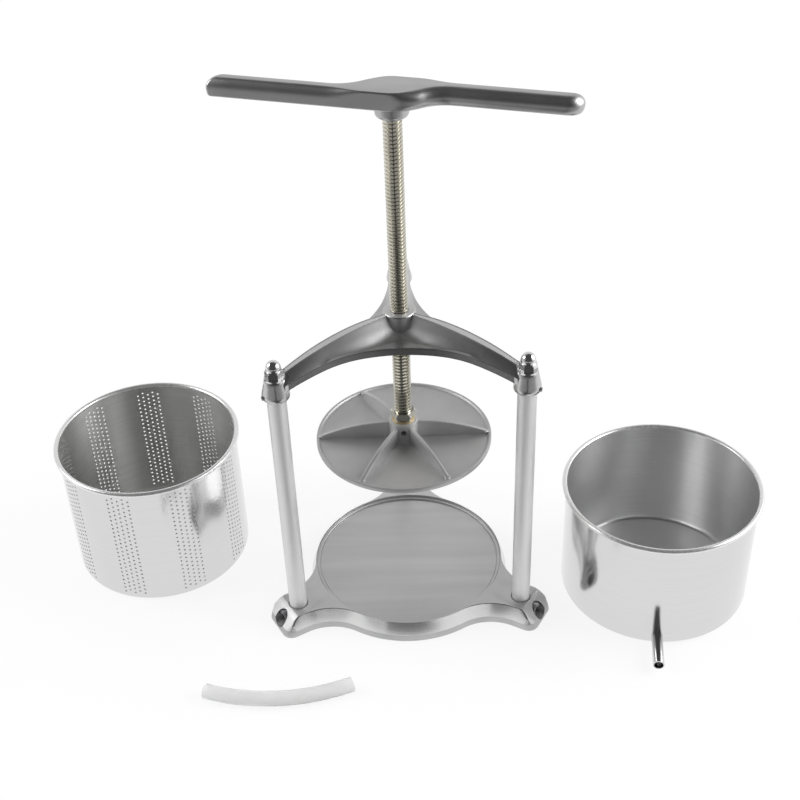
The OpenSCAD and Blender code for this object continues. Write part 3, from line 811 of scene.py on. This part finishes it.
def makeYoke():
    sizes = yokeSizes
    under = liftBand(1.6, 0.0)
    lines = [axisLine(under, lambda x: yokeFold(x) - sizes["band"]), under]
    lines += [liftBand(inset, lift) for inset, lift in sizes["bandEdge"]]
    lines += [flankLine(share) for share in sizes["flankShares"]]
    lines += [liftLand(inset, lift) for inset, lift in sizes["landEdge"]]
    lines.append(axisLine(lines[-1], lambda x: yokeTop(x) - 0.22))
    yoke = extrudeLoops("yokeCasting", [starLoop(line) for line in lines])
    reach, high, seat, top = sizes["hub"], sizes["bossHigh"], sizes["nutSeat"], sizes["seatTop"]
    cutWith(yoke, turnSection("yokeHub", [
        (0, 265.6), (reach - 1.0, 265.6), (reach - 0.2, 266.0), (reach, 267.0), (reach, 289.9),
        (reach - 0.25, 290.8), (reach - 0.8, 291.35), (reach - 1.6, 291.5), (0, 291.5)], steps=80), "UNION")
    for turn in columnTurns:
        foot = spotAt(turn, columnCircle)
        cutWith(yoke, turnSection("nutSeat", [(0, high), (seat, high), (seat, top), (0, top)], foot, 48))
        cutWith(yoke, turnSection("endBoss", [
            (0, 248.5), (8.9, 248.5), (10.0, 248.9), (11.0, 250.0), (11.4, 251.4), (11.4, 253.2),
            (11.15, 254.8), (9.2, 263.4), (8.75, 266.4), (8.3, 267.3), (7.9, high), (0, high)], foot, 48),
            "UNION")
    low, deep = sizes["boreLow"], sizes["screwDeep"]
    boreInto(yoke, sizes["screwBore"], deep, Vector(), low + deep / 2)
    for turn in columnTurns:
        for radius, depth in sizes["columnBores"]:
            boreInto(yoke, radius, depth, spotAt(turn, columnCircle), low + depth / 2)
        spot = spotAt(turn, columnCircle + sizes["setOut"])
        boreInto(yoke, sizes["setBore"], sizes["setDeep"], spot, sizes["setHigh"], 24, turn)
    # flanks wear the darker painted shade, up-facing tops the lighter satin
    wearFinish(yoke, "paintedShadeFlank", "castSatin", "paintedShadeCast", "castPolished")
    feet = [spotAt(turn, columnCircle).xy for turn in columnTurns]
    for face in yoke.data.polygons:
        fold, height = yokeFold(face.center.xy.length / mm), face.center.z / mm
        if min((face.center.xy - foot).length for foot in feet) < 11.5 * mm:
            face.material_index = 3
        elif face.normal.z > 0.8 and height > fold + 5:
            face.material_index = 1
        # the lower band below the fold wears the painted shade
        elif height < fold - 0.3:
            face.material_index = 2
    placePiece(yoke, "frame", "yoke", 32)


makeYoke()
print("yoke cast")


# handle: S-shaped bar, bevelled on its straight edges, rounded on its swept ones, and a turned boss below it

handleSizes = {"half": 16.5, "width": 16.0, "reach": 140.0, "sweep": 28.0, "flat": 6.0, "low": 469.5,
               "high": 484.0, "waist": 476.0, "bevel": 5.6, "bevelDeep": 9.0, "bevelFrom": 18.0,
               "bevelRun": 27.0, "roundTop": 7.4, "roundLow": 5.0, "roundRun": 24.0, "tipTop": 10.5,
               "tipLow": 2.5, "tipRound": 12.5, "tipCorner": 2.5, "tipRun": 15.0, "turn": -16.5,
               "rises": (0.0, 0.25, 0.6, 1.0, 1.8, 3.0, 4.6, 5.6, 6.5, 7.5, 8.5, 9.4, 10.2, 11.0, 11.7, 12.4,
                         13.0, 13.5, 13.9, 14.2, 14.4, 14.5),
               "boss": 13.0, "bossRound": 4.0, "bossDrop": 10.0, "bossHigh": 472.0}


def easeShare(value):
    share = min(1.0, max(0.0, value))
    return share * share * (3 - 2 * share)


def straightInset(height, along):
    sizes = handleSizes
    grown = easeShare((abs(along) - sizes["bevelFrom"]) / sizes["bevelRun"])
    bevel = 1.0 + (sizes["bevel"] - 1.0) * grown
    deep = 1.5 + (sizes["bevelDeep"] - 1.5) * grown
    share = max(0.0, (height - sizes["high"]) / deep + 1.0)
    return bevel * (1 - math.sqrt(max(0.0, 1 - share ** 2))) + max(0.0, sizes["low"] + 1.0 - height)


def roundInset(height, top, low):
    sizes = handleSizes
    if height > sizes["waist"]:
        reach, depth = sizes["high"] - sizes["waist"], top
    else:
        reach, depth = sizes["waist"] - sizes["low"], low
    return depth * (1 - math.sqrt(max(0.0, 1 - ((height - sizes["waist"]) / reach) ** 2)))


def sweptInset(height, along):
    rounded = roundInset(height, handleSizes["roundTop"], handleSizes["roundLow"])
    share = easeShare(along / handleSizes["roundRun"])
    return straightInset(height, 0.0) * (1 - share) + rounded * share


def handleOutline(height):
    sizes = handleSizes
    half, width, sweep, flat = sizes["half"], sizes["width"], sizes["sweep"], sizes["flat"]
    lower, tip = half - width, sizes["reach"] - sizes["tipRun"]
    turned = math.degrees(math.acos(1 - (half + lower) / (2 * sweep)))
    bend = flat + 2 * sweep * math.sin(math.radians(turned))  # where the swept edge runs straight
    side = [(x, -half + sweptInset(height, x)) for x in (0.0, flat / 2, flat)]
    for x, y in arcPoints((flat, -half + sweep), sweep, 270, 270 + turned, 12)[1:]:
        share = 1 - sweptInset(height, x) / sweep
        side.append((flat + (x - flat) * share, -half + sweep + (y + half - sweep) * share))
    for x, y in arcPoints((bend, lower - sweep), sweep, 90 + turned, 90, 12)[1:]:
        share = 1 + sweptInset(height, x) / sweep
        side.append((bend + (x - bend) * share, lower - sweep + (y - lower + sweep) * share))
    near, far = lower + sweptInset(height, tip), half - straightInset(height, tip)
    side += [(bend + (tip - bend) * k / 6, near) for k in range(1, 6)]
    scale = (far - near) / width
    end = sizes["reach"] - roundInset(height, sizes["tipTop"], sizes["tipLow"])
    large, small = sizes["tipRound"] * scale, sizes["tipCorner"] * scale
    side += arcPoints((end - large, near + large), large, -90, 0, 17)
    side += arcPoints((end - small, far - small), small, 0, 90, 7)
    side += [(x, half - straightInset(height, x)) for x in (tip * (1 - k / 24) for k in range(1, 24))]
    outline = side + [(-x, -y) for x, y in side]
    return [(*turnPoint(x, y, sizes["turn"]), height) for x, y in outline]


def makeHandle():
    sizes = handleSizes
    low, high, boss, easing = sizes["low"], sizes["bossHigh"], sizes["boss"], sizes["bossRound"]
    handle = extrudeLoops("handleBar", [handleOutline(low + rise) for rise in sizes["rises"]], capped=True)
    under = low - sizes["bossDrop"]
    section = [(0, under)] + arcPoints((boss - easing, under + easing), easing, 270, 360, 9)
    cutWith(handle, turnSection("handleBoss", section + [(boss, high), (0, high)], steps=64), "UNION")
    wearFinish(handle, "handleCast")
    placePiece(handle, "screw", "handle", 30)


makeHandle()
print("handle made")


# press screw: trapezoid thread swept up the shank, and a turned foot with a groove

screwSizes = {"crest": 7.5, "root": 5.95, "pitch": 3.175, "low": 183.5, "high": 463.0, "turns": 91,
              "steps": 32,
              "foot": ((0, 164.6), (4.6, 164.6), (5.0, 165.0), (5.0, 170.5), (4.0, 170.5), (4.0, 175.9),
                       (5.0, 175.9), (5.0, 184.5), (0, 184.5))}


def makeScrew():
    sizes = screwSizes
    pitch, root, crest = sizes["pitch"], sizes["root"], sizes["crest"]
    tooth = ((root, 0.0), (root, 0.33), (crest - 0.25, 0.45), (crest, 0.50), (crest, 0.83),
             (crest - 0.25, 0.88), (root, 1.0))
    start = sizes["low"] - 2 * pitch
    points = [Vector((r * mm, 0, (start + share * pitch) * mm)) for r, share in tooth]
    screw = drawLine("threadedScrew", points)
    sweep = screw.modifiers.new("thread", "SCREW")
    sweep.axis, sweep.angle, sweep.screw_offset = "Z", fullTurn, pitch * mm
    sweep.iterations, sweep.steps, sweep.render_steps = sizes["turns"], sizes["steps"], sizes["steps"]
    sweep.use_merge_vertices = True
    sweep.merge_threshold = 1e-6
    applyModifiers(screw)
    cleanMesh(screw)
    for height, below in ((sizes["low"], True), (sizes["high"], False)):
        editPiece(screw)
        bpy.ops.mesh.bisect(plane_co=(0, 0, height * mm), plane_no=(0, 0, 1), use_fill=True,
                            clear_inner=below, clear_outer=not below)
        leaveEdit()
    cleanMesh(screw)
    cutWith(screw, turnSection("spigot", sizes["foot"], steps=32), "UNION")
    wearFinish(screw, "screwNickel")
    placePiece(screw, "screw", "press_screw", 30)


makeScrew()
print("screw cut")


# press plate: turned web, rim and hub, five cast ribs with pads

plateSizes = {"low": 159.5, "radius": 76.0, "web": 2.5, "rim": 4.5, "hub": 12.5, "hubHigh": 21.5, "bore": 5.1,
              "boreLow": 5.0, "ribArc": 146.0, "ribFrom": 18.0, "ribTo": 4.3, "ribEnd": 74.3, "ribLow": 1.2,
              "ribTurns": (0, 120, 180, 240, 300), "padIn": 3.4, "grubHigh": 13.7, "grubOut": 12.0,
              "grubBore": 2.55, "grubDeep": 14.0, "grubTurn": 270,
              "ribSection": ((-1.75, 0.9), (-1.45, 0.25), (-0.9, 0.0), (0.9, 0.0), (1.45, 0.25), (1.75, 0.9))}


def ribTopPoints(count):
    sizes = plateSizes
    start, end = Vector((sizes["hub"], sizes["ribFrom"])), Vector((sizes["ribEnd"], sizes["ribTo"]))
    chord = end - start
    across = Vector((chord.y, -chord.x)).normalized()
    centre = (start + end) / 2 + across * math.sqrt(sizes["ribArc"] ** 2 - (chord.length / 2) ** 2)
    first, last = (math.degrees(math.atan2(p.y - centre.y, p.x - centre.x)) for p in (start, end))
    return arcPoints(centre, sizes["ribArc"], first, last, count)


def makePlate():
    sizes = plateSizes
    low, radius, web, rim = sizes["low"], sizes["radius"], sizes["web"], sizes["rim"]
    hub, high, bore, foot = sizes["hub"], sizes["hubHigh"], sizes["bore"], sizes["ribLow"]
    section = [(0, 0), (radius - 1.0, 0), (radius - 0.3, 0.3), (radius, 1.0), (radius, rim - 0.6),
               (radius - 0.25, rim - 0.15), (radius - 0.7, rim), (radius - 1.9, rim),
               (radius - 2.4, rim - 0.3), (radius - 3.2, web + 0.3), (radius - 4.0, web),
               (hub + 3.0, web), (hub + 1.2, web + 0.5), (hub + 0.3, web + 1.8), (hub, web + 3.4),
               (hub, high - 1.1), (hub - 0.3, high - 0.4), (hub - 1.0, high),
               (bore, high), (bore, sizes["boreLow"]), (0, sizes["boreLow"])]
    padSection = [(0, foot), (2.8, foot), (2.5, 4.5), (2.1, 5.0), (1.5, 5.1), (0, 5.1)]
    plate = turnSection("pressPlate", [(r, low + z) for r, z in section], steps=120)
    top = ribTopPoints(13)
    for turn in sizes["ribTurns"]:
        loops = []
        for across, drop in sizes["ribSection"]:
            profile = [(hub - 3, foot), (sizes["ribEnd"], foot)]
            profile += [(x, z - drop) for x, z in reversed(top)] + [(hub - 3, sizes["ribFrom"] - drop)]
            loops.append([(*turnPoint(x, across, turn), low + z) for x, z in profile])
        cutWith(plate, extrudeLoops("rib", loops, capped=True), "UNION")
        spot = spotAt(turn, sizes["ribEnd"] - sizes["padIn"])
        cutWith(plate, turnSection("pad", [(r, low + z) for r, z in padSection], spot, 20), "UNION")
    turn = sizes["grubTurn"]
    boreInto(plate, sizes["grubBore"], sizes["grubDeep"], spotAt(turn, sizes["grubOut"]),
             low + sizes["grubHigh"], 28, turn)
    wearFinish(plate, "plateCast")
    placePiece(plate, "plate", "press_plate", 32)


makePlate()
print("plate cast")


# pot: one spun sheet with a rolled rim

bowlSizes = {"sheet": 1.0, "corner": 5.0, "bead": 2.3, "rimHigh": 4.4}


def beadPoints(radius, height, count=17):
    sizes = bowlSizes
    centre = (radius - sizes["sheet"] + sizes["bead"], height - sizes["bead"])
    inward = sizes["sheet"] - sizes["bead"]
    start = math.degrees(math.atan2(-math.sqrt(sizes["bead"] ** 2 - inward ** 2), inward)) + 360
    return arcPoints(centre, sizes["bead"], start, 540, count)


potSizes = {"place": (226.0, -19.0), "radius": 84.0, "height": 113.5, "spoutTurn": 263.0, "spoutHigh": 9.0,
            "spoutBore": 4.75, "spoutDeep": 10.0}


def makePot():
    sizes = potSizes
    radius, height, corner, sheet = sizes["radius"], sizes["height"], bowlSizes["corner"], bowlSizes["sheet"]
    bend = (radius - corner, corner)
    section = [(0, 0), (40, 0)] + arcPoints(bend, corner, 270, 360, 9) + [(radius, 18), (radius, 60)]
    section += beadPoints(radius, height) + [(radius - sheet, 60), (radius - sheet, 18)]
    section += arcPoints(bend, corner - sheet, 360, 270, 9) + [(40, sheet), (0, sheet)]
    pot = turnSection("juicePot", section, toMetres((*sizes["place"], 0)), 144)
    turn = sizes["spoutTurn"]
    root = Vector((*sizes["place"], 0)) * mm + spotAt(turn, radius)
    boreInto(pot, sizes["spoutBore"], sizes["spoutDeep"], root, sizes["spoutHigh"], 32, turn)
    wearFinish(pot, "potOutside", "potInside", "turnedPotFloorPaintedLight", "rimSatin")
    centre = Vector(sizes["place"]) * mm
    for face in pot.data.polygons:
        high, reach = face.center.z / mm, (face.center.xy - centre).length / mm
        facing = face.normal.xy.dot(face.center.xy - centre)
        if high > height - bowlSizes["rimHigh"]:
            face.material_index = 3
        # the floor inside the pot wears the painted light
        elif high > 0.5 and face.normal.z > 0.9 and reach < radius - corner + 1:
            face.material_index = 2
        elif high > 0.5 and facing < 0 and reach < radius - 0.4:
            face.material_index = 1
    placePiece(pot, "pot", "pot", 40)


makePot()
print("pot spun")


# basket: the same spinning with nine bands of holes; the wall is drawn cell by cell

basketSizes = {"place": (-237.0, 52.0), "radius": 81.0, "height": 131.0, "bands": 9, "columns": 5, "rows": 24,
               "pitch": 4.8, "hole": 1.0, "firstRow": 9.0, "bandTurn": -61.5, "plainSteps": 6}


def makeBasket():
    sizes = basketSizes
    radius, pitch, columns, rows = sizes["radius"], sizes["pitch"], sizes["columns"], sizes["rows"]
    cellTurn = pitch / radius
    plainTurn = (fullTurn / sizes["bands"] - columns * cellTurn) / sizes["plainSteps"]
    turns, holeAt = [], {}
    for band in range(sizes["bands"]):
        start = math.radians(sizes["bandTurn"]) + fullTurn * band / sizes["bands"] - columns * cellTurn / 2
        for half in range(2 * columns):
            if half % 2 == 0:
                holeAt[len(turns)] = half // 2 - columns // 2
            turns.append(start + half * cellTurn / 2)
        for step in range(sizes["plainSteps"]):
            turns.append(start + columns * cellTurn + step * plainTurn)
    around = len(turns)
    low = sizes["firstRow"] - pitch / 2
    levels = [low + pitch / 2 * k for k in range(2 * rows + 2)]
    vertices, faces, index = [], [], {}

    def addPoint(reach, angle, height):
        vertices.append((reach * math.cos(angle), reach * math.sin(angle), height))
        return len(vertices) - 1

    def corner(turn, level):
        key = (turn % around, level)
        if key not in index:
            index[key] = addPoint(radius, turns[turn % around], levels[level])
        return index[key]

    def plainCell(turn, level):
        faces.append((corner(turn, level), corner(turn + 1, level), corner(turn + 1, level + 1),
                      corner(turn, level + 1)))

    def holeCell(turn, level):
        rim = [corner(turn + across, level + up) for across, up in
               ((0, 0), (1, 0), (2, 0), (2, 1), (2, 2), (1, 2), (0, 2), (0, 1))]
        middle = (0.0, levels[level + 1])
        hole = [addPoint(radius, turns[turn] + cellTurn / 2 + x / radius, z)
                for x, z in arcPoints(middle, sizes["hole"], 225, 540, 8)]
        for k in range(8):
            faces.append((rim[k], rim[(k + 1) % 8], hole[(k + 1) % 8], hole[k]))

    turn = 0
    while turn < around:
        if turn in holeAt:
            shift = abs(holeAt[turn]) % 2
            for row in range(rows):
                holeCell(turn, 2 * row + shift)
            for half in (0, 1):
                plainCell(turn + half, 0 if shift else 2 * rows)
            turn += 2
        else:
            for level in range(len(levels) - 1):
                plainCell(turn, level)
            turn += 1

    def addRing(reach, height):
        return [addPoint(reach, angle, height) for angle in turns]

    def bridgeRings(lower, upper):
        for k in range(around):
            faces.append((lower[k], lower[(k + 1) % around], upper[(k + 1) % around], upper[k]))

    bend, rimLow = bowlSizes["corner"], sizes["height"] - bowlSizes["bead"]
    rings = [addRing(30, 0), addRing(60, 0)]
    rings += [addRing(r, z) for r, z in arcPoints((radius - bend, bend), bend, 270, 360, 8)]
    rings.append([corner(k, 0) for k in range(around)])
    for lower, upper in zip(rings, rings[1:]):
        bridgeRings(lower, upper)
    faces.append(tuple(rings[0]))
    bridgeRings([corner(k, len(levels) - 1) for k in range(around)], addRing(radius, rimLow))
    mesh = bpy.data.meshes.new("perforatedBasket")
    place = Vector((*sizes["place"], 0))
    mesh.from_pydata([(Vector(v) + place) * mm for v in vertices], [], faces)
    basket = bpy.data.objects.new("perforatedBasket", mesh)
    bpy.context.scene.collection.objects.link(basket)
    editPiece(basket)
    bpy.ops.mesh.normals_make_consistent(inside=False)
    leaveEdit()
    wearFinish(basket, "basketOutside", "basketInside", "basketFloor")
    if mesh.polygons[0].normal.dot(mesh.polygons[0].center - place * mm) < 0:
        mesh.flip_normals()
    sheet = basket.modifiers.new("sheet", "SOLIDIFY")
    sheet.thickness, sheet.offset, sheet.use_even_offset = bowlSizes["sheet"] * mm, -1.0, True
    applyModifiers(basket)
    section = beadPoints(radius, sizes["height"])
    inner = radius - bowlSizes["sheet"] - 0.12
    section = section[:-1] + [(inner, rimLow), (inner + 0.3, rimLow - 1.6), section[0]]
    rim = turnSection("rolledRim", section, place * mm, 144)
    wearFinish(rim, "rimSatin")
    centre = place.xy * mm
    for face in basket.data.polygons:
        facing = face.normal.xy.dot(face.center.xy - centre)
        if face.normal.z > 0.9 and face.center.z > 0.5 * mm:
            face.material_index = 2
        elif facing < 0 and (face.center.xy - centre).length / mm < radius - 0.7:
            face.material_index = 1
    takePiece(basket)
    rim.select_set(True)
    bpy.ops.object.join()
    placePiece(basket, "basket", "basket", 40)


makeBasket()
print("basket punched")


# CAD nodes that already have the right shape get their finish

sideFinishes = {"column_": "columnSatin", "acorn_nut_": "nutChrome", "washer_": "nutChrome",
                "clamp_screw_": "fastenerSteel", "set_screw_": "fastenerSteel"}
nodeFinishes = {"handle_grub_screw": "fastenerSteel", "plate_grub_screw": "fastenerSteel",
                "thrust_washer": "washerBronze", "lock_nut": "screwNickel", "spout": "potOutside"}
for kind, finish in sideFinishes.items():
    nodeFinishes.update({kind + side: finish for side in ("left", "right", "rear")})
for name, finish in nodeFinishes.items():
    wearFinish(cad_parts[name], finish)
print("solids finished")
